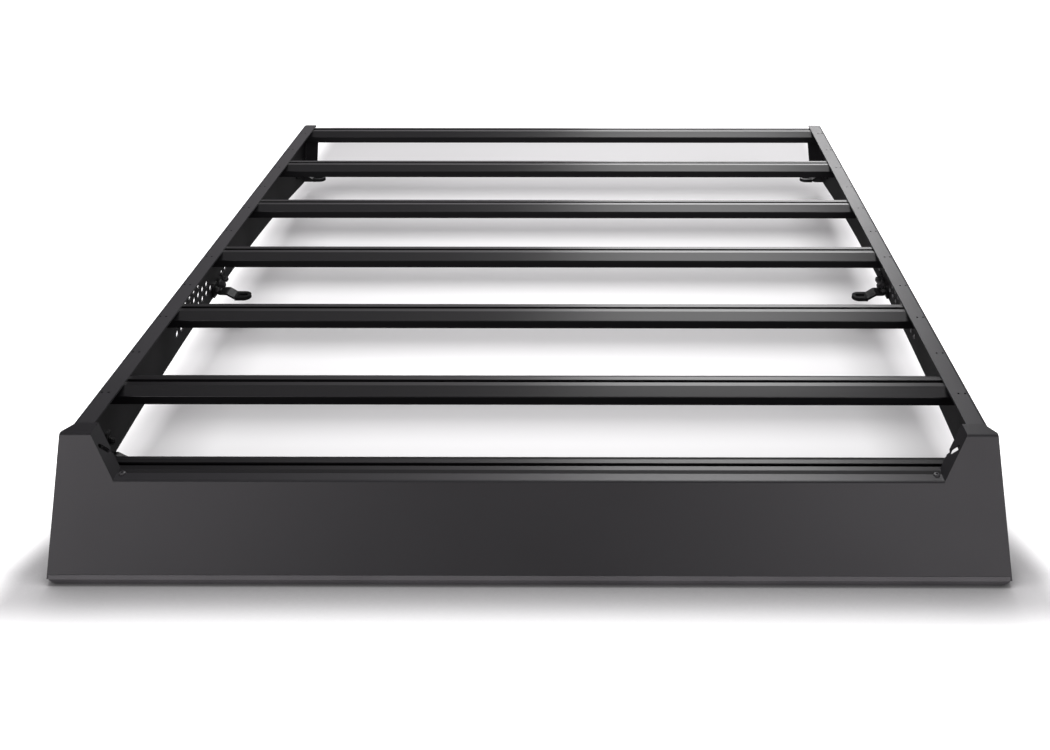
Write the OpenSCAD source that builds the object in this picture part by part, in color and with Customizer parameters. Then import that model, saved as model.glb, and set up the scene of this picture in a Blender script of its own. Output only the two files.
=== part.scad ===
// Flat platform roof rack for a pickup cab.
// Two bent side rails carry seven crowned crossbars, a wind fairing closes the
// front, and six slotted feet bolt the rack to the roof.
// X runs across the rack, Y to the rear and Z up. The origin lies on the floor
// under the middle of the rack.

/* [Side rails] */
// Width over both side rails at the top
rack_w = 1257; // [1000:1:1500]
// Length of the top of a side rail
rail_len = 1356; // [1150:1:1500]
// Sheet thickness of the side rails
rail_t = 3; // [2:0.5:4]
// Width of the flange turned inward along the top
flange_w = 29; // [26:1:40]
// Angle that the web leans outward from upright
web_lean = 10; // [6:1:14]
// Depth of the web at its middle
web_mid = 109; // [100:1:125]
// Depth of the web at its two ends
web_end = 149; // [135:1:155]
// Distance that the top flange stops short of the rear end
flange_back = 13; // [8:1:30]
// Radius of the top flange's outer rear corner
flange_corner_r = 8; // [0:1:12]
// Width of the flange turned inward at the rear end
return_w = 33; // [20:1:40]
// Radius of that flange's lower corner
return_corner_r = 14; // [0:1:15]
// Radius of the web's lower front corner
web_corner_r = 12; // [0:1:20]
// Inside radius of the bends in the rails, fairing and feet
bend_in = 3; // [1.5:0.5:4]

/* [Honeycomb windows] */
// Holes in the upper row, in front of the middle foot
comb_upper = 6; // [2:1:7]
// Holes that the second row has more than the upper one
comb_step_2 = 2; // [0:1:2]
// Holes that the third row has more than the upper one
comb_step_3 = 3; // [0:1:3]
// Columns left out at the middle foot
comb_skip = 2; // [2:1:3]
// Columns of holes behind the middle foot
comb_behind = 2; // [1:1:3]
// Distance of the first column from the front end of the rails
comb_front = 430; // [415:1:440]
// Hole size across its flats
comb_af = 14; // [8:0.5:16]
// Distance between the centres of two neighbouring holes
comb_pitch = 22.7; // [20:0.1:26]
// Distance from one row of holes down to the next
comb_drop = 19.5; // [18:0.1:20]
// Depth of the upper row's centres below the top, along the web
comb_top = 43; // [38:1:44]

/* [Crossbars] */
// Distance of the first bar on the deck from the front end of the rails
bar_front = 144; // [120:1:170]
// Width of a bar from front to back
bar_d = 61; // [55:1:75]
// Height of a bar
bar_h = 23; // [21:0.5:28]
// Width of the level crest
crest_w = 25.6; // [24:0.2:30]
// Height that each side of the crown falls away
crown_drop = 8.7; // [5:0.1:9]
// Wall thickness of the extrusion
bar_wall = 2; // [1.4:0.1:2.4]
// Rounding of the extrusion's outer edges
bar_edge_r = 1.6; // [0.5:0.1:2]
// Rounding beside the slot's lips and in the hollow cells
bar_small_r = 0.8; // [0.4:0.1:1]
// Gap between the last bar and the rear flange
bar_rear_gap = 3.5; // [3.5:0.5:12]
// Gap between a bar's end and the web
bar_end_gap = 0.3; // [0.1:0.1:1]

/* [T-slots] */
// Width of the slot's mouth
slot_mouth = 7.5; // [6:0.5:9]
// Thickness of the two slot lips
slot_lip = 2.6; // [2:0.1:3]
// Width inside the slot
slot_in_w = 15; // [13:0.5:16]
// Height inside the slot
slot_in_h = 6.4; // [5:0.1:7]

/* [Wind fairing] */
// Sheet thickness of the fairing
fair_t = 2; // [1.5:0.5:3]
// Width across the top
fair_w = 1269; // [1264:1:1300]
// Height of the face below the top of the rails
fair_height = 176; // [160:1:185]
// Angle that the face leans forward from upright
fair_lean = 27; // [20:1:32]
// Width that the fairing gains down to its bottom edge, on each side
fair_flare = 23.5; // [15:0.5:30]
// Depth of the lips that lie on the rails
cheek_lip = 28; // [26:1:36]
// Width of the cut-off corner at the back of a cheek lip
cheek_cut_w = 12; // [6:1:16]
// Depth of the cut-off corner at the back of a cheek lip
cheek_cut_d = 22; // [10:1:23]
// Depth of the cut-out below the top of the rails
cut_drop = 54.6; // [50:0.1:62]
// Width of the cut-out at the top
cut_w = 1183; // [1150:1:1190]
// Width that the cut-out loses on each side down to its bottom
cut_slant = 28; // [15:1:40]
// Depth of the level lip along the bottom of the cut-out
cut_lip = 17; // [12:0.5:20]
// Depth of the upright flanges at the two ends of the cut-out
ear_d = 28; // [20:1:30]
// Radius of the slot's ends in an upright flange
ear_slot_r = 3.5; // [2:0.25:5]
// Distance between the centres of that slot's two ends
ear_slot_len = 12; // [6:1:20]
// Height of that slot, as a share of the way down the flange
ear_slot_at = 0.42; // [0.35:0.01:0.5]
// Size of the square notch in the rear edge of an upright flange
notch_size = 5; // [2:0.5:6]
// Height of that notch, as a share of the way down the flange
notch_at = 0.6; // [0.5:0.01:0.75]
// Depth of the side flanges along the outer edges
side_d = 16; // [10:1:24]
// Depth of the side flanges at their cut-back top
side_top_d = 5; // [4:0.5:9]
// Gap between the fairing and the front ends of the rails
fair_gap = 2.5; // [1:0.5:5]

/* [Edge trim] */
// Height of the rubber trim below the fairing's bottom edge
trim_below = 8; // [4:0.5:12]
// Height of the trim that grips the sheet
trim_grip = 6; // [3:0.5:9]
// Thickness of each wall of the trim
trim_wall = 1.6; // [1:0.1:3]
// Height over which the trim's outer wall stands upright
trim_upright = 5; // [2:0.5:6]

/* [Feet] */
// Distance of the front feet from the front end of the rails
foot_front = 96; // [80:1:200]
// Distance of the middle feet from the front end of the rails
foot_middle = 654; // [640:1:665]
// Distance of the rear feet from the rear end of the rails
foot_rear = 60; // [50:1:180]
// Plate thickness of the feet
foot_t = 4; // [3:0.5:6]
// Width of a foot along the rail
foot_w = 28; // [22:1:40]
// Height of the leg that is bolted to the web
leg_h = 30; // [26:1:40]
// Length of the level arm next to the web
arm_len = 20; // [14:1:30]
// Length of the step down from arm to pad
step_len = 13; // [11:1:20]
// Height of the step down from arm to pad
step_h = 9; // [4:0.5:12]
// Length of the pad that bears on the roof
pad_len = 30; // [24:1:45]
// Radius of the slot's ends in the pad
pad_slot_r = 4.5; // [3:0.25:5.5]
// Distance between the centres of the slot's two ends
pad_slot_len = 9; // [2:0.5:12]
// Distance of the slot's middle from the pad's end
pad_slot_in = 15; // [14:0.5:16]

/* [Bolt holes] */
// Radius of the screw holes in the top flange
screw_r = 1.8; // [1.5:0.1:2.2]
// Distance between the two screws of a pair
screw_pair = 9.6; // [7:0.1:11]
// Distance of a pair's middle from the rail's outer edge
screw_in = 12.2; // [12:0.1:16]
// Distance of a pair in front of a bar's middle
screw_ahead = 38; // [35:1:60]
// Radius of the bolt hole that joins a foot to the web
foot_bolt_r = 4.25; // [3:0.25:5.5]

/* [Hidden] */
// Straight pieces that stand for one rounded bend
bend_steps = 6;
// Overshoot of a cutting tool
cut = 1;
// Room that parts keep where paint lies between them
seat = 0.1;

// Height of the top of the rails above the floor
deck_z = fair_height + trim_below;
// Front of the fairing's face at the height of the deck
face_y = -fair_gap - fair_t / cos(fair_lean);
// Distance that the face runs forward down to its bottom edge
face_run = fair_height * tan(fair_lean);
// Reach of the trim in front of the face, and the front and middle of the whole rack
trim_reach = (trim_wall + seat) * cos(fair_lean);
front_y = face_y - face_run - trim_reach;
mid_y = (front_y + rail_len) / 2;

// Length of web that is drawn together with the rear flange
rear_root = rail_t + 4 * bend_in;
// Arched bottom edge of the web: it starts and ends level, short of the rear flange
arch_rise = web_end - web_mid;
arch_half = rail_len / 2 - rear_root - cut;
arch_r = (pow(arch_half, 2) + pow(arch_rise, 2)) / (2 * arch_rise);
// Distance that the web's bottom reaches past its top
web_reach = web_end * tan(web_lean);
// Distance between a web's two faces, measured level
web_level_t = rail_t / cos(web_lean);

// Bars on the deck, the last one's middle, and the distance from one to the next
deck_bars = 6;
last_bar_y = rail_len - rail_t - bar_rear_gap - bar_d / 2;
bar_pitch = (last_bar_y - bar_front) / (deck_bars - 1);
// Slope of a bar's two flanks
crown_slope = crown_drop / ((bar_d - crest_w) / 2);
// Place of the bar behind the cut-out: the lip lies on its front flank, and that
// much of the flank shows behind the lip
lip_rear_y = face_y - cut_drop * tan(fair_lean) + cut_lip;
bar1_show = 6.8;
bar1_y = lip_rear_y + bar1_show + crest_w / 2;
bar1_z = -cut_drop - fair_t - seat + bar1_show * crown_slope;

// Distance of the rear feet from the front end of the rails
rear_foot_y = rail_len - foot_rear;

// Inner face of the web at a depth below the deck
function web_in_x(depth) = rack_w / 2 - web_level_t + depth * tan(web_lean);
// Centre of a crossbar, and the height of its crest
function bar_y(i) = i == 1 ? bar1_y : last_bar_y - (deck_bars + 1 - i) * bar_pitch;
function bar_z(i) = i == 1 ? bar1_z : -rail_t - seat;

// Outlines with rounded corners
function heading(p, q) = (q - p) / norm(q - p);
function left_of(v) = [-v[1], v[0]];
function turned(v, a) = [v[0] * cos(a) - v[1] * sin(a), v[0] * sin(a) + v[1] * cos(a)];
function turn(u, v) = atan2(u[0] * v[1] - u[1] * v[0], u * v);
function corner_arc(p, u, v, r) =
    let (a = turn(u, v), k = sign(a), c = p - u * r * tan(abs(a) / 2) + left_of(u) * r * k)
    [for (i = [0:bend_steps]) c - turned(left_of(u), a * i / bend_steps) * r * k];
function rounded(pts, radii) = [
    for (i = [0:len(pts) - 1])
        let (n = len(pts), p = pts[i])
        let (u = heading(pts[(i + n - 1) % n], p), v = heading(p, pts[(i + 1) % n]))
        each (radii[i] > 0 ? corner_arc(p, u, v, radii[i]) : [p])
];

// A folded sheet's outer line, with a larger radius where the sheet lies inside
function folded_line(pts, t, side) = [
    pts[0],
    for (i = [1:len(pts) - 2])
        let (u = heading(pts[i - 1], pts[i]), v = heading(pts[i], pts[i + 1]))
        each corner_arc(pts[i], u, v, turn(u, v) * side > 0 ? bend_in + t : bend_in),
    pts[len(pts) - 1]
];
function shifted(line, d) = [
    for (i = [0:len(line) - 1])
        let (a = max(i - 1, 0), b = min(i, len(line) - 2))
        let (m = left_of(heading(line[a], line[a + 1])), n = left_of(heading(line[b], line[b + 1])))
        line[i] + (m + n) / (1 + m * n) * d
];
function flipped(line) = [for (i = [len(line) - 1:-1:0]) line[i]];

// Section of a sheet folded along a line of points on its outer face.
// The sheet lies to the left of the line where side is 1, to the right where it is -1.
module folded(pts, t, side) {
    line = folded_line(pts, t, side);
    polygon(concat(line, flipped(shifted(line, side * t))));
}

// Stands a drawing of X and Z up and runs it from y0 to y1
module run_y(y0, y1) {
    translate([0, y1, 0]) rotate([90, 0, 0]) linear_extrude(y1 - y0) children();
}

// Stands a drawing of Y and Z up and runs it from x0 to x1
module run_x(x0, x1) {
    translate([x0, 0, 0]) rotate([90, 0, 90]) linear_extrude(x1 - x0) children();
}

// Moves a part from the deck, where the rails' top front end is zero, to the floor
module on_floor() {
    translate([0, -mid_y, deck_z]) children();
}

// Local frame on the right web's outer face: X outward, Z up along the web
module on_web(y, depth) {
    translate([rack_w / 2, y, 0]) rotate([0, -web_lean, 0]) translate([0, 0, -depth]) children();
}

module obround(r, length, h) {
    for (s = [-1, 1]) {
        translate([s * length / 2, 0, 0]) cylinder(r = r, h = h, $fn = 48);
    }
    translate([-length / 2, -r, 0]) cube([length, 2 * r, h]);
}

// Side view of a rail: level top, front edge clear of the fairing's side flange,
// arched bottom
module rail_side() {
    room = face_y + side_d + fair_gap;
    slope = tan(fair_lean);
    difference() {
        polygon(rounded(
            [[0, cut], [rail_len, cut], [rail_len, -web_end], [room - web_end * slope, -web_end],
             [0, -room / slope]],
            [0, 0, 0, web_corner_r, 0]));
        translate([rail_len / 2, -web_mid - arch_r]) circle(r = arch_r, $fn = 1440);
    }
}

module comb_hole(y, row) {
    on_web(y, comb_top + row * comb_drop)
        run_x(-rail_t - cut, cut)
            rotate(30) circle(d = comb_af / cos(30), $fn = 6);
}

// Honeycomb windows: three rows that reach stepwise up to the middle foot, and a
// few columns behind it
module honeycomb() {
    more = [0, comb_step_2, comb_step_3];
    behind = comb_upper + comb_step_3 + comb_skip;
    for (row = [0:2]) {
        for (i = [0:comb_upper + more[row] - 1]) {
            comb_hole(comb_front + i * comb_pitch, row);
        }
        for (i = [behind:behind + comb_behind - 1]) {
            comb_hole(comb_front + i * comb_pitch, row);
        }
    }
}

// Pairs of screw holes in front of each bar and midway between the bars
module flange_holes() {
    for (i = [0:2 * deck_bars - 2]) {
        for (s = [-1, 1]) {
            translate([rack_w / 2 - screw_in + s * screw_pair / 2,
                       last_bar_y - screw_ahead - i * bar_pitch / 2, -rail_t - cut])
                cylinder(r = screw_r, h = rail_t + 2 * cut, $fn = 32);
        }
    }
}

// Flange turned inward at the rear end, with a rounded lower corner
module rear_return() {
    relief = rail_t + bend_in + cut;
    intersection() {
        on_web(0, 0)
            translate([0, 0, -2 * web_end])
                linear_extrude(2 * web_end - relief)
                    folded([[0, rail_len - rear_root], [0, rail_len],
                            [-return_w, rail_len]], rail_t, 1);
        run_y(rail_len - web_end, rail_len + cut)
            polygon(rounded(
                [[0, 0], [rack_w, 0], [rack_w, -web_end],
                 [web_in_x(web_end) - return_w + rail_t, -web_end],
                 [web_in_x(0) - return_w + rail_t, 0]],
                [0, 0, 0, return_corner_r, 0]));
    }
}

// Top view of the room that the top flange takes
module flange_room() {
    linear_extrude(2 * web_end, center = true)
        polygon(rounded(
            [[0, -web_end], [rack_w / 2, -web_end], [rack_w / 2, rail_len - flange_back],
             [0, rail_len - flange_back]],
            [0, 0, flange_corner_r, 0]));
}

module right_rail() {
    difference() {
        union() {
            intersection() {
                run_y(-web_end, rail_len)
                    folded([[rack_w / 2 - flange_w, 0], [rack_w / 2, 0],
                            [rack_w / 2 + 2 * web_reach, -2 * web_end]], rail_t, -1);
                run_x(0, rack_w) rail_side();
                union() {
                    flange_room();
                    web_room();
                }
            }
            rear_return();
        }
        honeycomb();
        flange_holes();
        for (y = [foot_front, foot_middle, rear_foot_y]) {
            on_web(y, leg_bolt_depth())
                rotate([0, 90, 0])
                    cylinder(r = foot_bolt_r, h = 4 * rail_t, center = true, $fn = 48);
        }
    }
}

// Side view of the room that the web takes below the flange, up to the rear bend
module web_room() {
    low = -rail_t - bend_in - cut;
    end = rail_len - bend_in - rail_t;
    run_x(0, rack_w)
        polygon([[-web_end, low], [end, low], [end, -2 * web_end], [-web_end, -2 * web_end]]);
}

// Depth along the web of the bolts that hold the feet, one for all six: the roof is level
function leg_bolt_depth() = (web_mid - leg_h / 2) / cos(web_lean);

// Extruded section of a crossbar: crest, T-slot, two sloping flanks, three cells
module bar_section() {
    half = bar_d / 2;
    crest = crest_w / 2;
    slot_floor = -slot_lip - slot_in_h;
    cell_top = slot_floor - bar_wall;
    cell_floor = -bar_h + bar_wall;
    side = slot_in_w / 2 + bar_wall;
    roof = bar_wall / cos(atan(crown_slope));
    shoulder = max(side, crest);
    inner = half - bar_wall;
    difference() {
        polygon(rounded(
            [[-crest, 0], [crest, 0], [half, -crown_drop], [half, -bar_h],
             [-half, -bar_h], [-half, -crown_drop]],
            [bar_small_r, bar_small_r, bar_edge_r, bar_edge_r, bar_edge_r, bar_edge_r]));
        translate([-slot_mouth / 2, -slot_lip - cut]) square([slot_mouth, slot_lip + 2 * cut]);
        translate([-slot_in_w / 2, slot_floor]) square([slot_in_w, slot_in_h]);
        translate([-side + bar_wall, cell_floor]) square([2 * side - 2 * bar_wall, cell_top - cell_floor]);
        for (s = [-1, 1]) {
            polygon(rounded(
                [[s * side, cell_floor], [s * inner, cell_floor],
                 [s * inner, -(inner - crest) * crown_slope - roof],
                 [s * shoulder, -(shoulder - crest) * crown_slope - roof],
                 [s * side, -roof]],
                [bar_small_r, bar_small_r, bar_small_r, 0, bar_small_r]));
        }
    }
}

module crossbar(i) {
    outer = bend_in + rail_t;
    bend_x = rack_w / 2 - outer * (1 - sin(web_lean)) / cos(web_lean);
    low = 2 * web_end;
    shoulder = [bend_x + bend_in * cos(web_lean), -outer + bend_in * sin(web_lean)];
    corners = [[bend_x, -rail_t], shoulder, [web_in_x(low), -low]];
    on_floor()
        color([0.20, 0.20, 0.21])
            intersection() {
                translate([0, bar_y(i), bar_z(i)]) run_x(-rack_w, rack_w) bar_section();
                run_y(-web_end, rail_len)
                    polygon(concat(
                        [for (c = corners) [c[0] - bar_end_gap, c[1]]],
                        [for (c = flipped(corners)) [-c[0] + bar_end_gap, c[1]]]));
            }
}

// Front view of the right cheek, from the cut-out's end to the flared side
module cheek_front() {
    top = 2 * fair_t + seat;
    side_gain = fair_flare / fair_height;
    ear_gain = cut_slant / cut_drop;
    polygon([[cut_w / 2 + ear_gain * top, top],
             [fair_w / 2 - side_gain * top, top],
             [fair_w / 2 + fair_flare + side_gain * cut, -fair_height - cut],
             [cut_w / 2 - cut_slant, -fair_height - cut],
             [cut_w / 2 - cut_slant, -cut_drop]]);
}

// Section through a cheek, with its lip on the rail
module cheek_section() {
    rise = fair_t + seat;
    folded([[face_y + cheek_lip, rise], [face_y + rise * tan(fair_lean), rise],
            [face_y - face_run, -fair_height]], fair_t, 1);
}

// Section through the middle, with the lip along the cut-out
module middle_section() {
    folded([[lip_rear_y, -cut_drop], [lip_rear_y - cut_lip, -cut_drop],
            [face_y - face_run, -fair_height]], fair_t, 1);
}

// Side view of a flange that stands behind the face between two heights,
// rooted in the middle of the sheet
module behind_face(top, bottom, d, top_d) {
    root = fair_t / cos(fair_lean) / 2;
    y0 = face_y + top * tan(fair_lean);
    y1 = face_y + bottom * tan(fair_lean);
    polygon([[y0 + root, top], [y0 + top_d, top], [y0 + d, top - (d - top_d)],
             [y1 + d, bottom], [y1 + root, bottom]]);
}

// Upright flange at the right end of the cut-out, with its slot and notched edge
module ear() {
    lean = atan(cut_slant / cut_drop);
    level_t = fair_t / cos(lean);
    top = seat + fair_t / 2;
    low = -cut_drop - fair_t / 2;
    gain = cut_slant / cut_drop;
    notch_z = -notch_at * cut_drop;
    slot_z = -ear_slot_at * cut_drop;
    difference() {
        intersection() {
            run_y(-fair_height, fair_height)
                polygon([[cut_w / 2 + gain * top, top],
                         [cut_w / 2 + gain * top + level_t, top],
                         [cut_w / 2 + gain * low + level_t, low],
                         [cut_w / 2 + gain * low, low]]);
            run_x(0, rack_w) difference() {
                behind_face(top, low, ear_d, ear_d);
                translate([face_y + ear_d + notch_z * tan(fair_lean), notch_z])
                    rotate(45 - fair_lean) square(notch_size, center = true);
            }
        }
        translate([cut_w / 2 + gain * slot_z, face_y + ear_d / 2 + slot_z * tan(fair_lean), slot_z])
            rotate([fair_lean, 0, 0]) rotate([0, 90, 0])
                translate([0, 0, -ear_d / 2]) obround(ear_slot_r, ear_slot_len, ear_d);
    }
}

// Flange along the outer edge of the face, cut back at its top
module side_flange() {
    gain = fair_flare / fair_height;
    top = seat + fair_t / 2;
    x_top = fair_w / 2 - gain * top;
    x_low = fair_w / 2 + fair_flare;
    intersection() {
        run_y(-2 * fair_height, fair_height)
            polygon([[x_top - fair_t, top], [x_top, top], [x_low, -fair_height], [x_low - fair_t, -fair_height]]);
        run_x(0, rack_w) behind_face(top, -fair_height, side_d, side_top_d);
    }
}

module right_cheek() {
    lip_rear = face_y + cheek_lip;
    x_far = rack_w;
    x_in = fair_w / 2 - cheek_cut_w;
    slope = cheek_cut_d / cheek_cut_w;
    intersection() {
        run_x(cut_w / 2 - cut_slant, rack_w) cheek_section();
        run_y(-2 * fair_height, fair_height) cheek_front();
        linear_extrude(4 * fair_height, center = true)
            polygon([[0, -2 * fair_height], [x_far, -2 * fair_height], [x_far, lip_rear - (x_far - x_in) * slope],
                     [x_in - cut / slope, lip_rear + cut], [0, lip_rear + cut]]);
    }
    ear();
    side_flange();
}

module wind_fairing() {
    half_middle = cut_w / 2 - cut_slant + fair_t / 2;
    on_floor()
        color([0.22, 0.22, 0.23]) {
            run_x(-half_middle, half_middle) middle_section();
            right_cheek();
            mirror([1, 0, 0]) right_cheek();
        }
}

// Rubber profile that grips the fairing's bottom edge
module fairing_edge_trim() {
    up = [sin(fair_lean), cos(fair_lean)];
    through = [cos(fair_lean), -sin(fair_lean)];
    front = -(trim_wall + seat) * through;
    rear = (fair_t + seat + trim_wall) * through;
    side_z = trim_upright - trim_below;
    inset = fair_t + seat + (trim_upright + trim_grip) * fair_flare / fair_height;
    half_w = fair_w / 2 + fair_flare - inset;
    on_floor()
        color([0.08, 0.08, 0.08])
            translate([0, face_y - face_run, -fair_height])
                difference() {
                    intersection() {
                        run_x(-half_w, half_w)
                            polygon([
                                front + trim_grip * up, front, [front[0], side_z], [0, -trim_below],
                                [rear[0] - trim_wall, -trim_below], [rear[0], side_z], rear,
                                rear + trim_grip * up]);
                        run_y(-fair_height, fair_height)
                            polygon([[-half_w, fair_height], [half_w, fair_height], [half_w, 0],
                                     [half_w - trim_below, -trim_below - cut],
                                     [-half_w + trim_below, -trim_below - cut], [-half_w, 0]]);
                    }
                    run_x(-rack_w, rack_w)
                        polygon([
                            -seat * through - seat * up,
                            (fair_t + seat) * through - seat * up,
                            (fair_t + seat) * through + fair_height * up,
                            -seat * through + fair_height * up]);
                }
}

// A foot: leg on the web, level arm, step down and slotted pad
module right_foot(y) {
    low = web_mid + foot_t / 2;
    x0 = web_in_x(low) - seat;
    x_step = x0 - arm_len;
    x_pad = x_step - step_len;
    x_end = x_pad - pad_len;
    leg_z = leg_h - web_mid;
    difference() {
        intersection() {
            run_y(y - foot_w / 2, y + foot_w / 2)
                folded([[web_in_x(-leg_z) - seat, leg_z], [x0, -low], [x_step, -low],
                        [x_pad, -low - step_h], [x_end, -low - step_h]], foot_t, -1);
            linear_extrude(4 * web_end, center = true) {
                translate([x_end + foot_w / 2, y]) circle(d = foot_w, $fn = 64);
                translate([x_end + foot_w / 2, y - foot_w / 2]) square([rack_w, foot_w]);
            }
            run_x(0, rack_w) {
                translate([y, leg_z - foot_w / 2]) circle(d = foot_w, $fn = 64);
                translate([y - foot_w / 2, -2 * web_end]) square([foot_w, 2 * web_end + leg_z - foot_w / 2]);
            }
        }
        translate([x_end + pad_slot_in, y, -low - step_h - cut])
            obround(pad_slot_r, pad_slot_len, foot_t + 2 * cut);
        on_web(y, leg_bolt_depth())
            rotate([0, 90, 0])
                cylinder(r = foot_bolt_r, h = 8 * rail_t, center = true, $fn = 48);
    }
}

module side_rail(s) {
    on_floor() color([0.24, 0.24, 0.25]) mirror([s < 0 ? 1 : 0, 0, 0]) right_rail();
}

module foot(s, y) {
    on_floor() color([0.15, 0.15, 0.16]) mirror([s < 0 ? 1 : 0, 0, 0]) right_foot(y);
}

side_rail(-1);  // left_side_rail
side_rail(1);  // right_side_rail
crossbar(1);  // crossbar_1
crossbar(2);  // crossbar_2
crossbar(3);  // crossbar_3
crossbar(4);  // crossbar_4
crossbar(5);  // crossbar_5
crossbar(6);  // crossbar_6
crossbar(7);  // crossbar_7
wind_fairing();
fairing_edge_trim();
foot(-1, foot_front);  // left_front_foot
foot(-1, foot_middle);  // left_middle_foot
foot(-1, rear_foot_y);  // left_rear_foot
foot(1, foot_front);  // right_front_foot
foot(1, foot_middle);  // right_middle_foot
foot(1, rear_foot_y);  // right_rear_foot
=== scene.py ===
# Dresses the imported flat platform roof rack: powder coat, rubber trim, fasteners,
# a pale floor, soft light and the camera of the reference view.
import math

import bmesh
import bpy
from bpy.props import FloatProperty, FloatVectorProperty, PointerProperty
from mathutils import Matrix, Vector


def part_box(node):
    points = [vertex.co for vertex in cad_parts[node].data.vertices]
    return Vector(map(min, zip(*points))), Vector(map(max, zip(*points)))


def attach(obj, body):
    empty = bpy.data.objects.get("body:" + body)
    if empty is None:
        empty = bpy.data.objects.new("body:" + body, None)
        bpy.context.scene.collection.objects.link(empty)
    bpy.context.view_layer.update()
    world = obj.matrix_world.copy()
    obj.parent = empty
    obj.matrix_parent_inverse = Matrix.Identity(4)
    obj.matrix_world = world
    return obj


bl_info = {
    "name": "Platform roof rack dressing",
    "version": (1, 0, 0),
    "blender": (4, 5, 0),
    "location": "View3D > Sidebar > Roof rack",
    "description": "Finishes, fasteners and studio for a flat platform roof rack",
    "category": "Object",
}

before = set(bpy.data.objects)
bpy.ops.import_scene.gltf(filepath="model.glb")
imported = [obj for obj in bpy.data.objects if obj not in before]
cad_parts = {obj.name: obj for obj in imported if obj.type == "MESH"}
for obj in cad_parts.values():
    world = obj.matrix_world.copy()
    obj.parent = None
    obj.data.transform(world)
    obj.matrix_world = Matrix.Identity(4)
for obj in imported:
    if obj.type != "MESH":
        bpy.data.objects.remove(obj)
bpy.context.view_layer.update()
MM = 0.001

BARS = [f"crossbar_{i}" for i in range(1, 8)]
SIDES = {"left": -1, "right": 1}
FEET = [f"{side}_{place}_foot" for side in SIDES for place in ("front", "middle", "rear")]
WEB_LEAN = math.radians(10)
RAIL_TOP_LENGTH = 1.356
WEB_SHEET = 3 * MM
PLATE_SHEET = 4 * MM
PLATE_GAP = 0.6 * MM
NUT_GAP = 0.1 * MM
FOOT_WIDTH = 28 * MM
BAR_SCREW_DROP = 2 * MM
LIP_SCREW_X = 0.556
LIP_SCREW_BACK = 17.5 * MM
LIP_SCREW_DROP = 54.6 * MM
SMOOTH_ANGLE = math.radians(35)

# Soft patches of the surroundings: direction, angles where the full part ends
# and where the edge ends, in degrees, and strength
SKY_PATCHES = (
    ((-0.58, -0.74, 0.34), 0, 20, 3.8),
    ((-0.38, -0.86, 0.34), 0, 20, 1.1),
    ((0.38, -0.86, 0.34), 0, 20, 4.2),
    ((0.00, 0.91, 0.41), 0, 26, 0.9),
    ((0.00, 0.00, 1.00), 0, 40, 0.5),
)
# The floor fades to white between these distances from its middle, in metres
FADE_FRONT = (0.75, 0.87)
FADE_SIDES = (0.66, 0.74)
FADE_BACK = (1.16, 1.36)
FLOOR_GLOW = 0.05
FLOOR_SHEEN = 0.03
FLOOR_DIM = 0.06
FLOOR_SIZE = 30
FLOOR_DROP = 0.0005
# Painted shade in front of the rack, where ambient occlusion darkens the floor's colour: its
# reach, how fast it deepens, where it starts ahead of the middle, and how much wider the shaded
# floor is there
PAINTED_SHADE_REACH = 0.11
PAINTED_SHADE_POWER = 3.0
LEAD_START, LEAD_END = 0.60, 0.70
LEAD_WIDER = 0.03
# The lamps that are not in the settings: width, height, place and aim
TOP_SOFTBOX = (0.8, 1.7, (0.42, 1.15, 1.3), (0.42, 1.15, 0))
BACK_SOFTBOX = (1.3, 1.3, (0.62, 3.0, 1.15), (0.1, 0.5, 0))
# The camera's angles in degrees, its place from the deck's front end, and its frame
CAMERA_PITCH, CAMERA_YAW, CAMERA_ROLL = 30.82, 0.22, -0.03
CAMERA_PLACE = (0.1015, -1.1978, 0.8078)
SENSOR_WIDTH = 36
FRAME_SHIFT = -75 / 1050

RAIL_LOW, RAIL_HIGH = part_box("right_side_rail")
DECK_Z = RAIL_HIGH.z
DECK_FRONT = RAIL_HIGH.y - RAIL_TOP_LENGTH
TOP_HALF_W = RAIL_HIGH.x - (RAIL_HIGH.z - RAIL_LOW.z) * math.tan(WEB_LEAN)


# Settings.
class RackFinish(bpy.types.PropertyGroup):
    rail_colour: FloatVectorProperty(
        name="Rail colour", description="Powder coat of the side rails",
        subtype="COLOR", default=(0.024, 0.0233, 0.0252), min=0, max=1)
    bar_colour: FloatVectorProperty(
        name="Bar colour", description="Satin powder coat of the crossbars",
        subtype="COLOR", default=(0.005, 0.0049, 0.0054), min=0, max=1)
    fairing_colour: FloatVectorProperty(
        name="Fairing colour", description="Powder coat of the wind fairing",
        subtype="COLOR", default=(0.014, 0.0135, 0.015), min=0, max=1)
    foot_colour: FloatVectorProperty(
        name="Foot colour", description="Powder coat of the feet",
        subtype="COLOR", default=(0.006, 0.006, 0.0065), min=0, max=1)
    rubber_colour: FloatVectorProperty(
        name="Rubber colour", description="Edge trim under the fairing",
        subtype="COLOR", default=(0.11, 0.108, 0.112), min=0, max=1)
    pad_colour: FloatVectorProperty(
        name="Pad colour", description="Rubber under the feet",
        subtype="COLOR", default=(0.006, 0.006, 0.006), min=0, max=1)
    screw_colour: FloatVectorProperty(
        name="Screw colour", description="Black oxide of the screws",
        subtype="COLOR", default=(0.035, 0.034, 0.036), min=0, max=1)
    grain_size: FloatProperty(
        name="Grain size", description="Size of the powder coat's fine texture",
        default=0.9 * MM, min=0.2 * MM, max=4 * MM, unit="LENGTH", precision=5)


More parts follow.
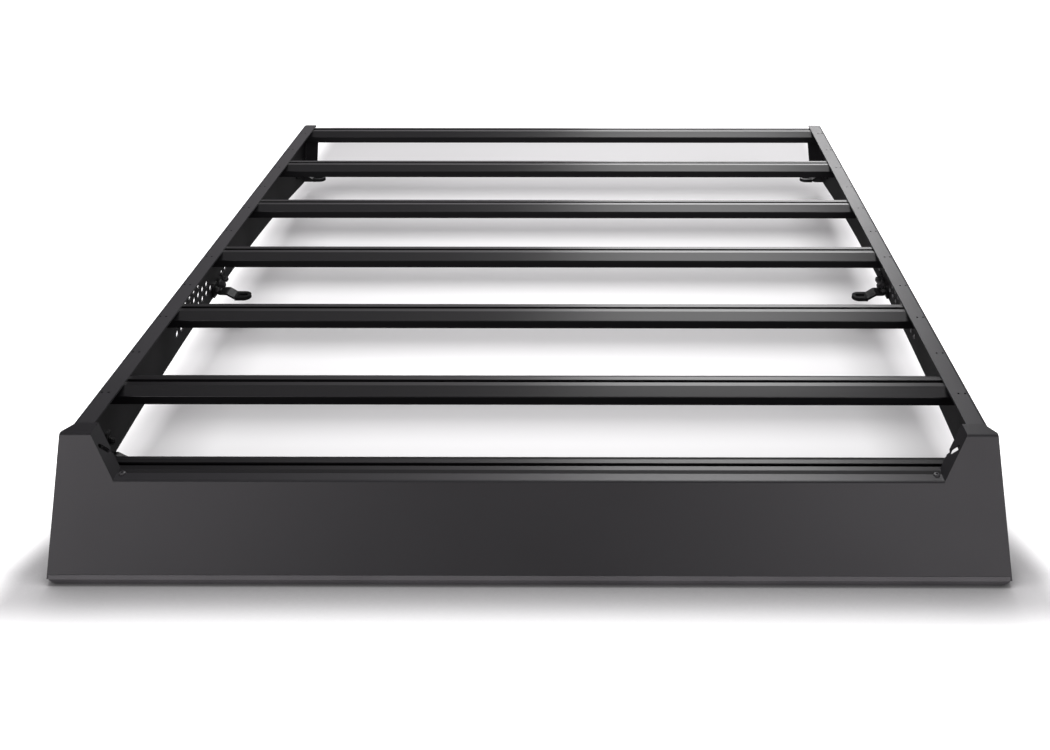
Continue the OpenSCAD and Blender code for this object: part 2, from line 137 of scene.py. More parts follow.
class RackHardware(bpy.types.PropertyGroup):
    bar_screw_r: FloatProperty(
        name="Bar screw head", description="Radius of the button heads at the bars' ends",
        default=5.2 * MM, min=3 * MM, max=8 * MM, unit="LENGTH", precision=5)
    bar_screw_gap: FloatProperty(
        name="Bar screw spacing", description="Distance between the two screws of a bar's end",
        default=38 * MM, min=20 * MM, max=46 * MM, unit="LENGTH", precision=5)
    foot_bolt_r: FloatProperty(
        name="Foot bolt head", description="Radius of the button heads that hold the feet",
        default=7.6 * MM, min=5 * MM, max=10 * MM, unit="LENGTH", precision=5)
    foot_nut_r: FloatProperty(
        name="Foot nut", description="Radius over the corners of the flange nuts",
        default=7.5 * MM, min=5 * MM, max=10 * MM, unit="LENGTH", precision=5)
    plate_width: FloatProperty(
        name="Foot plate width", description="Width of the plates beside a foot's leg",
        default=20 * MM, min=12 * MM, max=30 * MM, unit="LENGTH", precision=5)
    plate_height: FloatProperty(
        name="Foot plate height", description="Height of the plates beside a foot's leg",
        default=30 * MM, min=16 * MM, max=40 * MM, unit="LENGTH", precision=5)
    plate_nut_r: FloatProperty(
        name="Plate nut", description="Radius over the corners of the plates' nuts",
        default=5.8 * MM, min=4 * MM, max=8 * MM, unit="LENGTH", precision=5)
    pad_length: FloatProperty(
        name="Foot pad length", description="Length of the rubber pads under the feet",
        default=29 * MM, min=20 * MM, max=30 * MM, unit="LENGTH", precision=5)
    pad_thickness: FloatProperty(
        name="Foot pad thickness", description="Thickness of the rubber pads under the feet",
        default=3 * MM, min=1.5 * MM, max=6 * MM, unit="LENGTH", precision=5)
    lip_screw_r: FloatProperty(
        name="Lip screw head", description="Radius of the button heads in the fairing's lip",
        default=4.6 * MM, min=2 * MM, max=7 * MM, unit="LENGTH", precision=5)


class RackStudio(bpy.types.PropertyGroup):
    lens: FloatProperty(
        name="Lens", description="Focal length for a 36 mm wide sensor",
        default=36.55, min=20, max=120, unit="CAMERA")
    key_power: FloatProperty(
        name="Key light", description="Power of the soft light over the deck",
        default=29.0, min=0, max=400, unit="POWER")
    key_width: FloatProperty(
        name="Key width", description="Size of the soft light across the deck",
        default=2.0, min=0.1, max=4, unit="LENGTH")
    key_depth: FloatProperty(
        name="Key depth", description="Size of the soft light along the deck",
        default=0.9, min=0.1, max=4, unit="LENGTH")
    key_back: FloatProperty(
        name="Key place", description="How far behind the deck's front end the soft light hangs",
        default=0.56, min=-1, max=3, unit="LENGTH")
    key_above: FloatProperty(
        name="Key height", description="How far above the deck the soft light hangs",
        default=1.10, min=0.5, max=4, unit="LENGTH")
    top_power: FloatProperty(
        name="Top light", description="Power of the soft light whose sheen the bars' facets show",
        default=18.0, min=0, max=400, unit="POWER")
    back_power: FloatProperty(
        name="Back light", description="Power of the soft light behind the deck on the right",
        default=24.0, min=0, max=400, unit="POWER")
    sky_strength: FloatProperty(
        name="Sky", description="Strength of the soft patches in the surroundings",
        default=1.0, min=0, max=3)
    floor_colour: FloatVectorProperty(
        name="Floor colour", description="Pale floor near the rack, before it fades to white",
        subtype="COLOR", default=(0.67, 0.665, 0.67), min=0, max=1)


# Node helpers.
def add_node(tree, kind, x=0, y=0, **values):
    node = tree.nodes.new(kind)
    node.location = (x, y)
    for key, value in values.items():
        if hasattr(node, key) and not key[0].isupper():
            setattr(node, key, value)
        else:
            node.inputs[key].default_value = value
    return node


def join_sockets(tree, *pairs):
    for out_socket, in_socket in pairs:
        tree.links.new(out_socket, in_socket)


def math_node(tree, operation, a, b, x=0, y=0, clamp=False):
    node = add_node(tree, "ShaderNodeMath", x, y, operation=operation, use_clamp=clamp)
    for i, value in enumerate((a, b)):
        if isinstance(value, (int, float)):
            node.inputs[i].default_value = value
        elif value is not None:
            tree.links.new(value, node.inputs[i])
    return node.outputs[0]


def set_range(node, from_min, from_max, to_min, to_max):
    """Set the four ends of a Map Range node."""
    for key, value in (("From Min", from_min), ("From Max", from_max),
                       ("To Min", to_min), ("To Max", to_max)):
        node.inputs[key].default_value = value


def powder_grain_group():
    """Fine sprayed grain with faint clouds: colour, roughness and height."""
    name = "sprayed_grain"
    if name in bpy.data.node_groups:
        return bpy.data.node_groups[name]
    tree = bpy.data.node_groups.new(name, "ShaderNodeTree")
    face = tree.interface
    for label, kind, value in (
            ("Place", "NodeSocketVector", None),
            ("Colour", "NodeSocketColor", (0.03, 0.03, 0.03, 1)),
            ("Roughness", "NodeSocketFloat", 0.5), ("Grain scale", "NodeSocketFloat", 1100.0),
            ("Speckle", "NodeSocketFloat", 0.12), ("Clouds", "NodeSocketFloat", 0.10)):
        socket = face.new_socket(name=label, in_out="INPUT", socket_type=kind)
        if value is not None:
            socket.default_value = value
    for label, kind in (("Colour", "NodeSocketColor"), ("Roughness", "NodeSocketFloat"),
                        ("Height", "NodeSocketFloat")):
        face.new_socket(name=label, in_out="OUTPUT", socket_type=kind)
    source = add_node(tree, "NodeGroupInput", -900, 0)
    sink = add_node(tree, "NodeGroupOutput", 700, 0)
    fine = add_node(tree, "ShaderNodeTexNoise", -600, 200, Detail=2.0, Roughness=0.6)
    cloud = add_node(tree, "ShaderNodeTexNoise", -600, -100, Scale=7.0, Detail=3.0,
                     Roughness=0.55)
    join_sockets(tree, (source.outputs["Place"], fine.inputs["Vector"]),
                 (source.outputs["Grain scale"], fine.inputs["Scale"]),
                 (source.outputs["Place"], cloud.inputs["Vector"]))
    fine_mid = math_node(tree, "SUBTRACT", fine.outputs["Fac"], 0.5, -400, 200)
    cloud_mid = math_node(tree, "SUBTRACT", cloud.outputs["Fac"], 0.5, -400, -100)
    speckle = math_node(tree, "MULTIPLY", fine_mid, source.outputs["Speckle"], -200, 200)
    clouds = math_node(tree, "MULTIPLY", cloud_mid, source.outputs["Clouds"], -200, -100)
    both = math_node(tree, "ADD", speckle, clouds, 0, 60)
    gain = math_node(tree, "MULTIPLY_ADD", both, 4.0, 160, 120)
    gain.node.inputs[2].default_value = 1.0
    colour = add_node(tree, "ShaderNodeVectorMath", 360, 160, operation="SCALE")
    join_sockets(tree, (source.outputs["Colour"], colour.inputs[0]),
                 (gain, colour.inputs["Scale"]), (colour.outputs[0], sink.inputs["Colour"]))
    rough = math_node(tree, "ADD", source.outputs["Roughness"], both, 360, -40, clamp=True)
    join_sockets(tree, (rough, sink.inputs["Roughness"]),
                 (fine.outputs["Fac"], sink.inputs["Height"]))
    return tree


def draw_lines_group():
    """Faint lines along X that an extrusion die leaves under the coat."""
    name = "die_lines"
    if name in bpy.data.node_groups:
        return bpy.data.node_groups[name]
    tree = bpy.data.node_groups.new(name, "ShaderNodeTree")
    face = tree.interface
    face.new_socket(name="Place", in_out="INPUT", socket_type="NodeSocketVector")
    strength = face.new_socket(name="Strength", in_out="INPUT", socket_type="NodeSocketFloat")
    strength.default_value = 0.1
    face.new_socket(name="Mask", in_out="OUTPUT", socket_type="NodeSocketFloat")
    source = add_node(tree, "NodeGroupInput", -700, 0)
    sink = add_node(tree, "NodeGroupOutput", 300, 0)
    stretch = add_node(tree, "ShaderNodeMapping", -500, 0)
    stretch.inputs["Scale"].default_value = (0.6, 420.0, 420.0)
    lines = add_node(tree, "ShaderNodeTexNoise", -300, 0, Scale=1.0, Detail=3.0, Roughness=0.6)
    join_sockets(tree, (source.outputs["Place"], stretch.inputs["Vector"]),
                 (stretch.outputs["Vector"], lines.inputs["Vector"]))
    mid = math_node(tree, "SUBTRACT", lines.outputs["Fac"], 0.5, -100, 0)
    mask = math_node(tree, "MULTIPLY", mid, source.outputs["Strength"], 80, 0)
    join_sockets(tree, (mask, sink.inputs["Mask"]))
    return tree


def coat_material(name, colour, roughness, grain_size, speckle, clouds, bump, lines=0.0):
    """A sprayed or moulded surface; lines above zero adds the die's lines."""
    material = bpy.data.materials.new(name)
    material.use_nodes = True
    tree = material.node_tree
    shader = tree.nodes["Principled BSDF"]
    place = add_node(tree, "ShaderNodeTexCoord", -1100, 0)
    grain = add_node(tree, "ShaderNodeGroup", -700, 0)
    grain.node_tree = powder_grain_group()
    grain.inputs["Colour"].default_value = (*colour, 1)
    grain.inputs["Roughness"].default_value = roughness
    grain.inputs["Grain scale"].default_value = 1 / grain_size
    grain.inputs["Speckle"].default_value = speckle
    grain.inputs["Clouds"].default_value = clouds
    bump_node = add_node(tree, "ShaderNodeBump", -300, -300, Strength=bump,
                         Distance=0.1 * MM)
    join_sockets(tree, (place.outputs["Object"], grain.inputs["Place"]),
                 (grain.outputs["Colour"], shader.inputs["Base Color"]),
                 (bump_node.outputs["Normal"], shader.inputs["Normal"]))
    if lines:
        die = add_node(tree, "ShaderNodeGroup", -700, -300)
        die.node_tree = draw_lines_group()
        die.inputs["Strength"].default_value = lines
        rough = math_node(tree, "ADD", grain.outputs["Roughness"], die.outputs["Mask"],
                          -300, 0, clamp=True)
        height = math_node(tree, "ADD", grain.outputs["Height"], die.outputs["Mask"],
                           -500, -300)
        join_sockets(tree, (place.outputs["Object"], die.inputs["Place"]),
                     (rough, shader.inputs["Roughness"]), (height, bump_node.inputs["Height"]))
    else:
        join_sockets(tree, (grain.outputs["Roughness"], shader.inputs["Roughness"]),
                     (grain.outputs["Height"], bump_node.inputs["Height"]))
    return material


def dress(piece, material):
    piece.data.materials.clear()
    piece.data.materials.append(material)


# Modelling helpers.
def deselect():
    if bpy.context.mode != "OBJECT":
        bpy.ops.object.mode_set(mode="OBJECT")
    bpy.ops.object.select_all(action="DESELECT")


def pick_faces(test):
    """In edit mode, select only the faces that pass the test."""
    bpy.ops.mesh.select_mode(type="FACE")
    bpy.ops.mesh.select_all(action="DESELECT")
    mesh = bmesh.from_edit_mesh(bpy.context.object.data)
    for face in mesh.faces:
        face.select_set(bool(test(face)))
    bmesh.update_edit_mesh(bpy.context.object.data)


def pick_edges(test):
    """In edit mode, select only the edges that pass the test."""
    bpy.ops.mesh.select_mode(type="EDGE")
    bpy.ops.mesh.select_all(action="DESELECT")
    mesh = bmesh.from_edit_mesh(bpy.context.object.data)
    for edge in mesh.edges:
        edge.select_set(bool(test(edge)))
    bmesh.update_edit_mesh(bpy.context.object.data)


def rim_at(height):
    return lambda edge: all(abs(v.co.z - height) < 1e-6 for v in edge.verts)


def cut_away(piece, tool):
    """Cut the tool's shape out of the piece and remove the tool."""
    deselect()
    bpy.context.view_layer.objects.active = piece
    cutter = piece.modifiers.new("cut", "BOOLEAN")
    cutter.operation = "DIFFERENCE"
    cutter.solver = "EXACT"
    cutter.object = tool
    bpy.ops.object.modifier_apply(modifier=cutter.name)
    bpy.data.objects.remove(tool, do_unlink=True)


def fuse(parts, name):
    """Join loose parts into one object at the origin."""
    deselect()
    for part in parts:
        part.select_set(True)
    bpy.context.view_layer.objects.active = parts[0]
    if len(parts) > 1:
        bpy.ops.object.join()
    piece = bpy.context.object
    bpy.ops.object.transform_apply(location=True, rotation=True, scale=True)
    piece.name = name
    piece.data.name = name
    deselect()
    return piece


def round_bar(radius, z0, z1, steps, top_round=0.0, round_steps=4):
    """A turned disc or pin between two heights, its top edge rounded."""
    deselect()
    bpy.ops.mesh.primitive_cylinder_add(
        vertices=steps, radius=radius, depth=z1 - z0, location=(0, 0, (z0 + z1) / 2))
    piece = bpy.context.object
    bpy.ops.object.transform_apply(location=True, rotation=True, scale=True)
    if top_round:
        bpy.ops.object.mode_set(mode="EDIT")
        pick_edges(rim_at(z1))
        bpy.ops.mesh.bevel(offset=top_round, segments=round_steps, affect="EDGES")
        bpy.ops.object.mode_set(mode="OBJECT")
    return piece


def button_screw(head_r, name, washer=0.0):
    """A button head with a hexagon socket, seated at height zero."""
    head_h = head_r * 0.58
    seat = head_r * 0.28 if washer else 0.0
    head = round_bar(head_r, seat, seat + head_h, 40, head_h * 0.82, 6)
    deselect()
    bpy.ops.mesh.primitive_cylinder_add(
        vertices=6, radius=head_r * 0.42, depth=head_h * 1.2, location=(0, 0, seat + head_h))
    cut_away(head, bpy.context.object)
    parts = [head]
    if washer:
        parts.append(round_bar(washer, 0, seat, 40, seat * 0.35, 2))
    return fuse(parts, name)


def flange_nut(corner_r, name):
    """A hexagon nut with its flange and the end of the bolt standing out of it."""
    flange_h, nut_h = corner_r * 0.22, corner_r * 1.05
    flange = round_bar(corner_r * 1.28, 0, flange_h, 40, flange_h * 0.6, 3)
    deselect()
    bpy.ops.mesh.primitive_cylinder_add(
        vertices=6, radius=corner_r, depth=nut_h, location=(0, 0, flange_h * 0.8 + nut_h / 2))
    nut = bpy.context.object
    bpy.ops.object.transform_apply(location=True, rotation=True, scale=True)
    bpy.ops.object.mode_set(mode="EDIT")
    pick_edges(rim_at(flange_h * 0.8 + nut_h))
    bpy.ops.mesh.bevel(offset=corner_r * 0.09, segments=2, affect="EDGES")
    bpy.ops.object.mode_set(mode="OBJECT")
    stud = round_bar(corner_r * 0.53, flange_h, nut_h * 1.38, 32, corner_r * 0.08, 2)
    return fuse([flange, nut, stud], name)


def clamp_plate(width, height, sheet):
    """A plate that stands on height zero, with rounded corners and a softened rim."""
    deselect()
    bpy.ops.mesh.primitive_cube_add(size=1, location=(0, 0, sheet / 2))
    plate = bpy.context.object
    plate.scale = (width, height, sheet)
    bpy.ops.object.transform_apply(location=True, rotation=True, scale=True)
    bpy.ops.object.mode_set(mode="EDIT")
    pick_edges(lambda edge: abs(edge.verts[0].co.z - edge.verts[1].co.z) > sheet / 2)
    bpy.ops.mesh.bevel(offset=width * 0.22, segments=6, affect="EDGES")
    pick_edges(rim_at(sheet))
    bpy.ops.mesh.bevel(offset=sheet * 0.2, segments=2, affect="EDGES")
    bpy.ops.object.mode_set(mode="OBJECT")
    plate.name = "foot_plate"
    return plate


def rubber_pad(length, width, thickness):
    """A pad with one round end and a blind slot, its upper face at height zero."""
    deselect()
    bpy.ops.mesh.primitive_cube_add(size=1, location=(0, 0, thickness / 2))
    pad = bpy.context.object
    pad.scale = (length, width, thickness)
    bpy.ops.object.transform_apply(location=True, rotation=True, scale=True)
    bpy.ops.object.mode_set(mode="EDIT")
    pick_edges(lambda edge: abs(edge.verts[0].co.z - edge.verts[1].co.z) > thickness / 2
               and edge.verts[0].co.x > 0)
    bpy.ops.mesh.bevel(offset=width * 0.499, segments=16, affect="EDGES")
    pick_edges(rim_at(thickness))
    bpy.ops.mesh.bevel(offset=thickness * 0.3, segments=3, affect="EDGES")
    pick_faces(lambda face: face.normal.z > 0.99)
    bpy.ops.mesh.inset(thickness=width * 0.14, depth=-thickness * 0.25)
    bpy.ops.object.mode_set(mode="OBJECT")
    pad.name = "foot_pad"
    return pad


def standing(axis):
    """Turn from upright to an axis; straight down is a half turn about the Y axis."""
    axis = Vector(axis).normalized()
    if axis.z < -0.999:
        return Matrix.Rotation(math.pi, 4, "Y")
    return axis.to_track_quat("Z", "Y").to_matrix().to_4x4()


def copies_at(model, places, name):
    """Copies of a model, each standing at a place along an outward axis, as one piece."""
    parts = []
    for at, axis, spin in places:
        part = bpy.data.objects.new(name, model.data.copy())
        bpy.context.scene.collection.objects.link(part)
        part.matrix_world = (Matrix.Translation(Vector(at)) @ standing(axis)
                             @ Matrix.Rotation(spin, 4, "Z"))
        parts.append(part)
    piece = fuse(parts, name)
    bpy.data.objects.remove(model, do_unlink=True)
    deselect()
    piece.select_set(True)
    bpy.context.view_layer.objects.active = piece
    bpy.ops.object.shade_smooth_by_angle(angle=SMOOTH_ANGLE)
    deselect()
    return piece


def seat_on(piece, material):
    dress(piece, material)
    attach(piece, "root")


def web_outer(side, y, z):
    """Point on a web's outer face, and the direction it faces."""
    depth = DECK_Z - z
    at = Vector((side * (TOP_HALF_W + depth * math.tan(WEB_LEAN)), y, z))
    return at, Vector((side * math.cos(WEB_LEAN), 0, math.sin(WEB_LEAN)))


def settings():
    return (bpy.context.scene.rack_finish, bpy.context.scene.rack_hardware,
            bpy.context.scene.rack_studio)


# Operators.
class RACK_OT_coats(bpy.types.Operator):
    """Give every CAD piece its powder coat or rubber"""
    bl_idname = "rack.coats"
    bl_label = "Coats"

    def execute(self, context):
        finish, _, _ = settings()
        grain = finish.grain_size
        # Name, colour, roughness, grain size, speckle, clouds and bump of each coat
        coats = {
            "rail": coat_material("rail_powder_coat", finish.rail_colour, 0.40,
                                  grain, 0.16, 0.08, 0.35),
            "bar": coat_material("bar_satin_coat", finish.bar_colour, 0.33,
                                 grain * 0.8, 0.08, 0.06, 0.2, lines=0.12),
            "fairing": coat_material("fairing_powder_coat", finish.fairing_colour, 0.40,
                                     grain, 0.16, 0.08, 0.35),
            "foot": coat_material("foot_powder_coat", finish.foot_colour, 0.5,
                                  grain, 0.2, 0.15, 0.4),
            "trim": coat_material("trim_rubber", finish.rubber_colour, 0.50,
                                  grain * 0.6, 0.2, 0.25, 0.15),
        }
        for node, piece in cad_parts.items():
            kind = next((k for k in ("rail", "foot", "trim", "fairing") if k in node), "bar")
            dress(piece, coats[kind])
        return {"FINISHED"}


class RACK_OT_bar_screws(bpy.types.Operator):
    """Screw the crossbars to the rails from outside, two button heads at each end"""
    bl_idname = "rack.bar_screws"
    bl_label = "Bar screws"

    def execute(self, context):
        finish, hardware, _ = settings()
        coat = coat_material("screw_black", finish.screw_colour, 0.36, finish.grain_size * 0.5,
                             0.1, 0.1, 0.1)
        for side_name, side in SIDES.items():
            places = []
            for bar in BARS:
                low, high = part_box(bar)
                for offset in (-0.5, 0.5):
                    y = (low.y + high.y) / 2 + offset * hardware.bar_screw_gap
                    at, out = web_outer(side, y, (low.z + high.z) / 2 - BAR_SCREW_DROP)
                    places.append((at, out, 0.3 * len(places)))
            model = button_screw(hardware.bar_screw_r, "bar_screw")
            seat_on(copies_at(model, places, f"{side_name}_bar_screws"), coat)
        return {"FINISHED"}


class RACK_OT_foot_bolts(bpy.types.Operator):
    """Bolt the feet to the webs: button heads outside, flange nuts inside"""
    bl_idname = "rack.foot_bolts"
    bl_label = "Foot bolts"

    def execute(self, context):
        finish, hardware, _ = settings()
        black = coat_material("bolt_black", finish.screw_colour, 0.38, finish.grain_size * 0.5,
                              0.1, 0.1, 0.1)
        dark = coat_material("nut_black_zinc", finish.screw_colour, 0.34, finish.grain_size * 0.5,
                             0.1, 0.2, 0.1)
        for side_name, side in SIDES.items():
            heads, nuts = [], []
            for foot in (f for f in FEET if f.startswith(side_name)):
                low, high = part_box(foot)
                y, z = (low.y + high.y) / 2, high.z - FOOT_WIDTH / 2
                at, out = web_outer(side, y, z)
                heads.append((at, out, 0.4))
                nuts.append((at - out * (WEB_SHEET + PLATE_SHEET + NUT_GAP), -out, 0.2))
            model = button_screw(hardware.foot_bolt_r, "foot_bolt",
                                 washer=hardware.foot_bolt_r * 1.25)
            seat_on(copies_at(model, heads, f"{side_name}_foot_bolts"), black)
            model = flange_nut(hardware.foot_nut_r, "foot_nut")
            seat_on(copies_at(model, nuts, f"{side_name}_foot_nuts"), dark)
        return {"FINISHED"}


class RACK_OT_foot_plates(bpy.types.Operator):
    """Clamp each foot's leg between two plates that are bolted through the web"""
    bl_idname = "rack.foot_plates"
    bl_label = "Foot plates"

    def execute(self, context):
        finish, hardware, _ = settings()
        black = coat_material("plate_black", finish.foot_colour, 0.42, finish.grain_size,
                              0.2, 0.15, 0.4)
        for side_name, side in SIDES.items():
            places, nuts, heads = [], [], []
            for foot in (f for f in FEET if f.startswith(side_name)):
                low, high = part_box(foot)
                y, z = (low.y + high.y) / 2, high.z - FOOT_WIDTH / 2
                for along in (-1, 1):
                    y_plate = y + along * (FOOT_WIDTH / 2 + PLATE_GAP + hardware.plate_width / 2)
                    at, out = web_outer(side, y_plate, z)
                    places.append((at - out * WEB_SHEET, -out, 0.0))
                    nuts.append((at - out * (WEB_SHEET + PLATE_SHEET), -out, 0.5))
                    heads.append((at, out, 0.1))
            model = clamp_plate(hardware.plate_width, hardware.plate_height, PLATE_SHEET)
            seat_on(copies_at(model, places, f"{side_name}_foot_plates"), black)
            model = flange_nut(hardware.plate_nut_r, "plate_nut")
            seat_on(copies_at(model, nuts, f"{side_name}_plate_nuts"), black)
            model = button_screw(hardware.plate_nut_r, "plate_bolt")
            seat_on(copies_at(model, heads, f"{side_name}_plate_bolts"), black)
        return {"FINISHED"}


class RACK_OT_foot_pads(bpy.types.Operator):
    """Stick a slotted rubber pad under every foot"""
    bl_idname = "rack.foot_pads"
    bl_label = "Foot pads"

    def execute(self, context):
        finish, hardware, _ = settings()
        rubber = coat_material("pad_rubber", finish.pad_colour, 0.6, finish.grain_size * 0.6,
                               0.2, 0.2, 0.15)
        for side_name, side in SIDES.items():
            places = []
            for foot in (f for f in FEET if f.startswith(side_name)):
                low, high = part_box(foot)
                x_end = high.x if side < 0 else low.x
                at = (x_end + side * hardware.pad_length / 2, (low.y + high.y) / 2, low.z)
                places.append((at, (0, 0, -1), math.pi if side < 0 else 0.0))
            model = rubber_pad(hardware.pad_length, FOOT_WIDTH, hardware.pad_thickness)
            seat_on(copies_at(model, places, f"{side_name}_foot_pads"), rubber)
        return {"FINISHED"}


class RACK_OT_lip_screws(bpy.types.Operator):
    """Screw the fairing down with one screw at each end of its cut-out's lip"""
    bl_idname = "rack.lip_screws"
    bl_label = "Lip screws"

    def execute(self, context):
        finish, hardware, _ = settings()
        coat = coat_material("lip_screw_black", finish.screw_colour, 0.34, finish.grain_size * 0.5,
                             0.1, 0.1, 0.1)
        lip_y, lip_z = DECK_FRONT - LIP_SCREW_BACK, DECK_Z - LIP_SCREW_DROP
        places = [((side * LIP_SCREW_X, lip_y, lip_z), (0, 0, 1), 0.2)
                  for side in SIDES.values()]
        model = button_screw(hardware.lip_screw_r, "lip_screw")
        seat_on(copies_at(model, places, "lip_screws"), coat)
        return {"FINISHED"}


class RACK_OT_stage(bpy.types.Operator):
    """Pale floor with painted shade in front of the rack, soft light and the camera"""
    bl_idname = "rack.stage"
    bl_label = "Stage"

    def execute(self, context):
        _, _, studio = settings()
        self.lay_floor(studio)
        self.light(studio)
        self.aim_camera(studio)
        context.scene.view_settings.view_transform = "Standard"
        return {"FINISHED"}

    def lay_floor(self, studio):
        deselect()
        bpy.ops.mesh.primitive_plane_add(size=FLOOR_SIZE, location=(0, 0, -FLOOR_DROP))
        floor = bpy.context.object
        floor.name = "floor"
        bpy.ops.object.transform_apply(location=True, rotation=True, scale=True)
        material = bpy.data.materials.new("floor_white")
        material.use_nodes = True
        tree = material.node_tree
        tree.nodes.clear()
        out = add_node(tree, "ShaderNodeOutputMaterial", 700, 0)
        seen = add_node(tree, "ShaderNodeBsdfDiffuse", -100, 200)
        glow = add_node(tree, "ShaderNodeEmission", -100, 60, Color=(1, 1, 1, 1))
        lit = add_node(tree, "ShaderNodeAddShader", 120, 140)
        dim = add_node(tree, "ShaderNodeBsdfDiffuse", 120, -80,
                       Color=(FLOOR_DIM, FLOOR_DIM, FLOOR_DIM, 1))
        pick = add_node(tree, "ShaderNodeMixShader", 450, 0)
        path = add_node(tree, "ShaderNodeLightPath", -100, 420)
        shiny = math_node(tree, "MAXIMUM", path.outputs["Is Glossy Ray"],
                          path.outputs["Is Transmission Ray"], 100, 420)
        part_shiny = math_node(tree, "MULTIPLY", shiny, FLOOR_SHEEN, 200, 420)
        chosen = math_node(tree, "MAXIMUM", path.outputs["Is Camera Ray"], part_shiny, 300, 420)
        place = add_node(tree, "ShaderNodeTexCoord", -1300, 0)
        split = add_node(tree, "ShaderNodeSeparateXYZ", -1100, 0)
        join_sockets(tree, (place.outputs["Object"], split.inputs[0]))
        zones = []
        sides = math_node(tree, "ABSOLUTE", split.outputs["X"], None, -900, 100)
        ahead = math_node(tree, "MULTIPLY", split.outputs["Y"], -1.0, -900, -60)
        in_front = add_node(tree, "ShaderNodeMapRange", -750, 250)
        set_range(in_front, LEAD_START, LEAD_END, 0.0, 1.0)
        join_sockets(tree, (ahead, in_front.inputs["Value"]))
        lead = in_front.outputs["Result"]
        wider = math_node(tree, "MULTIPLY", lead, -LEAD_WIDER, -680, 160)
        sides = math_node(tree, "ADD", sides, wider, -600, 100)
        # Painted shade: ambient occlusion near the rack darkens the floor's colour in front of it,
        # as a drop shadow
        shade_occlusion = add_node(tree, "ShaderNodeAmbientOcclusion", -700, 420, samples=16,
                           Distance=PAINTED_SHADE_REACH)
        shut = math_node(tree, "SUBTRACT", 1.0, shade_occlusion.outputs["AO"], -600, 480)
        masked = math_node(tree, "MULTIPLY", shut, lead, -550, 420)
        open_part = math_node(tree, "SUBTRACT", 1.0, masked, -500, 480)
        painted_shade_factor = math_node(tree, "POWER", open_part, PAINTED_SHADE_POWER, -450, 420)
        shade = add_node(tree, "ShaderNodeVectorMath", -300, 420, operation="SCALE")
        shade.inputs[0].default_value = tuple(studio.floor_colour)
        join_sockets(tree, (painted_shade_factor, shade.inputs["Scale"]),
                     (shade.outputs[0], seen.inputs["Color"]))
        for row, (place_out, start, end) in enumerate((
                (sides, *FADE_SIDES), (ahead, *FADE_FRONT), (split.outputs["Y"], *FADE_BACK))):
            ramp = add_node(tree, "ShaderNodeMapRange", -600, -200 * row)
            ramp.interpolation_type = "SMOOTHSTEP"
            set_range(ramp, start, end, FLOOR_GLOW, 1.0)
            join_sockets(tree, (place_out, ramp.inputs["Value"]))
            zones.append(ramp.outputs["Result"])
        near_zones = math_node(tree, "MAXIMUM", zones[0], zones[1], -400, 0)
        far = math_node(tree, "MAXIMUM", near_zones, zones[2], -250, 0)
        join_sockets(tree, (far, glow.inputs["Strength"]),
                     (seen.outputs[0], lit.inputs[0]), (glow.outputs[0], lit.inputs[1]),
                     (chosen, pick.inputs[0]), (dim.outputs[0], pick.inputs[1]),
                     (lit.outputs[0], pick.inputs[2]), (pick.outputs[0], out.inputs["Surface"]))
        dress(floor, material)

    def hang_lamp(self, name, width, height, power, place, aim):
        """A soft lamp at a place above the deck, measured from the middle of its front end."""
        data = bpy.data.lights.new(name, "AREA")
        data.shape = "RECTANGLE"
        data.size, data.size_y, data.energy = width, height, power
        lamp = bpy.data.objects.new(name, data)
        lamp.location = Vector(place) + Vector((0, DECK_FRONT, DECK_Z))
        lamp.rotation_euler = (Vector(place) - Vector(aim)).to_track_quat("Z", "Y").to_euler()
        bpy.context.scene.collection.objects.link(lamp)
        return lamp

    def light(self, studio):
        """Three soft lamps, and a world that is white to the camera and graded for the rack."""
        key = self.hang_lamp("key_softbox", studio.key_width, studio.key_depth, studio.key_power,
                             (0, studio.key_back, studio.key_above), (0, studio.key_back, 0))
        key.visible_glossy = False
        width, height, place, aim = TOP_SOFTBOX
        top = self.hang_lamp("top_softbox", width, height, studio.top_power, place, aim)
        top.visible_diffuse = False
        width, height, place, aim = BACK_SOFTBOX
        self.hang_lamp("back_softbox", width, height, studio.back_power, place, aim)
        world = bpy.data.worlds.new("graded_surroundings")
        bpy.context.scene.world = world
        world.use_nodes = True
        tree = world.node_tree
        tree.nodes.clear()
        out = add_node(tree, "ShaderNodeOutputWorld", 900, 0)
        place = add_node(tree, "ShaderNodeTexCoord", -900, 0)
        total = None
        for row, (towards, inner, outer, strength) in enumerate(SKY_PATCHES):
            aim = Vector(towards).normalized()
            dot = add_node(tree, "ShaderNodeVectorMath", -600, -200 * row, operation="DOT_PRODUCT")
            dot.inputs[1].default_value = aim
            ramp = add_node(tree, "ShaderNodeMapRange", -400, -200 * row)
            ramp.interpolation_type = "SMOOTHSTEP"
            set_range(ramp, math.cos(math.radians(outer)), math.cos(math.radians(inner)),
                      0.0, strength)
            join_sockets(tree, (place.outputs["Generated"], dot.inputs[0]),
                         (dot.outputs["Value"], ramp.inputs["Value"]))
            patch = ramp.outputs["Result"]
            total = patch if total is None else math_node(tree, "ADD", total, patch,
                                                          -200, -200 * row)
        total = math_node(tree, "MULTIPLY", total, studio.sky_strength, 200, 0)
        grade = add_node(tree, "ShaderNodeBackground", 560, -60, Color=(1, 0.955, 1, 1))
        plain = add_node(tree, "ShaderNodeBackground", 560, 100, Color=(1, 1, 1, 1),
                         Strength=1.0)
        path = add_node(tree, "ShaderNodeLightPath", 560, 360)
        pick = add_node(tree, "ShaderNodeMixShader", 740, 0)
        join_sockets(tree, (total, grade.inputs["Strength"]),
                     (path.outputs["Is Camera Ray"], pick.inputs[0]),
                     (grade.outputs[0], pick.inputs[1]), (plain.outputs[0], pick.inputs[2]),
                     (pick.outputs[0], out.inputs["Surface"]))

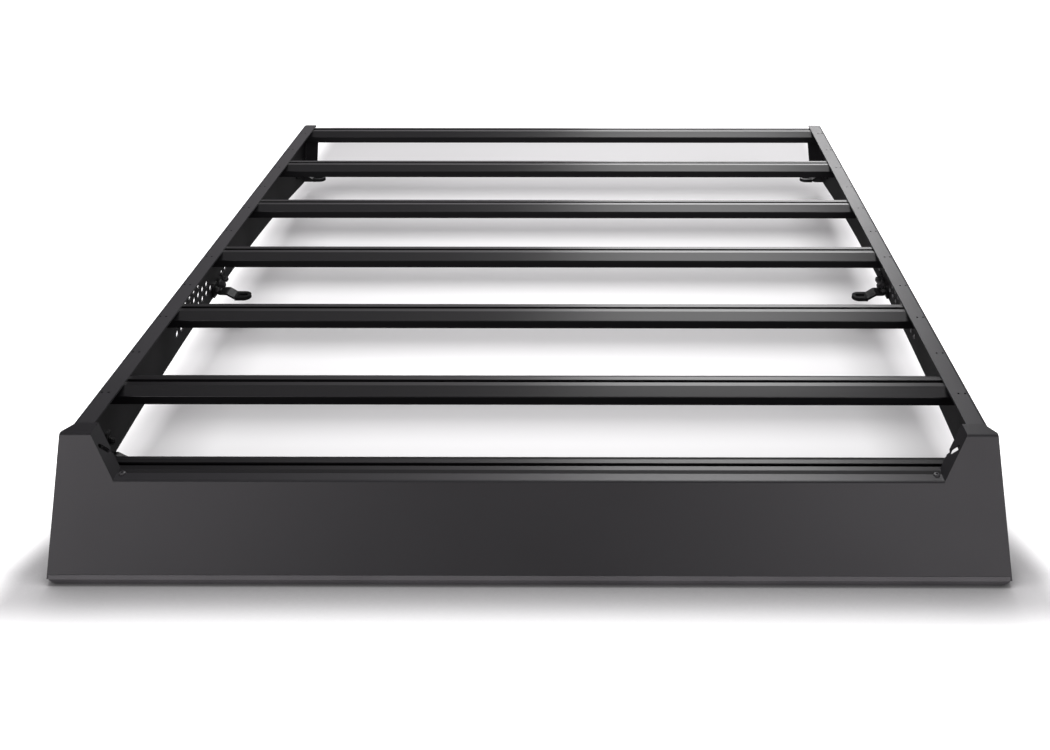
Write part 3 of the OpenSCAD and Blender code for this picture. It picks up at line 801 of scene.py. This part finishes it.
    def aim_camera(self, studio):
        pitch, yaw, roll = (math.radians(angle) for angle in
                            (CAMERA_PITCH, CAMERA_YAW, CAMERA_ROLL))
        ahead = Vector((-math.sin(yaw) * math.cos(pitch), math.cos(yaw) * math.cos(pitch),
                        -math.sin(pitch)))
        level = Vector((math.cos(yaw), math.sin(yaw), 0))
        rise = level.cross(ahead)
        right = math.cos(roll) * level + math.sin(roll) * rise
        top = -math.sin(roll) * level + math.cos(roll) * rise
        data = bpy.data.cameras.new("view_camera")
        data.sensor_width = SENSOR_WIDTH
        data.lens = studio.lens
        data.shift_x = FRAME_SHIFT
        data.clip_start, data.clip_end = 0.05, 60
        camera = bpy.data.objects.new("view_camera", data)
        bpy.context.scene.collection.objects.link(camera)
        turn = Matrix((right, top, -ahead)).transposed().to_4x4()
        place = Vector(CAMERA_PLACE) + Vector((0, DECK_FRONT, DECK_Z))
        camera.matrix_world = Matrix.Translation(place) @ turn
        bpy.context.scene.camera = camera


class RACK_PT_panel(bpy.types.Panel):
    """Panel in the sidebar that lists the rack's pieces and sizes"""
    bl_label = "Roof rack"
    bl_idname = "RACK_PT_panel"
    bl_space_type = "VIEW_3D"
    bl_region_type = "UI"
    bl_category = "Roof rack"

    def draw(self, context):
        for group in (context.scene.rack_finish, context.scene.rack_hardware,
                      context.scene.rack_studio):
            box = self.layout.box()
            for key in group.__annotations__:
                box.prop(group, key)
        for step in OPERATORS:
            self.layout.operator(step.bl_idname)


OPERATORS = (RACK_OT_coats, RACK_OT_bar_screws, RACK_OT_foot_bolts, RACK_OT_foot_plates,
             RACK_OT_foot_pads, RACK_OT_lip_screws, RACK_OT_stage)
CLASSES = (RackFinish, RackHardware, RackStudio, *OPERATORS, RACK_PT_panel)


def register():
    for item in CLASSES:
        bpy.utils.register_class(item)
    bpy.types.Scene.rack_finish = PointerProperty(type=RackFinish)
    bpy.types.Scene.rack_hardware = PointerProperty(type=RackHardware)
    bpy.types.Scene.rack_studio = PointerProperty(type=RackStudio)


def unregister():
    del bpy.types.Scene.rack_studio
    del bpy.types.Scene.rack_hardware
    del bpy.types.Scene.rack_finish
    for item in reversed(CLASSES):
        bpy.utils.unregister_class(item)


def main():
    register()
    for step in ("coats", "bar_screws", "foot_bolts", "foot_plates", "foot_pads",
                 "lip_screws", "stage"):
        getattr(bpy.ops.rack, step)()


if __name__ == "__main__":
    main()
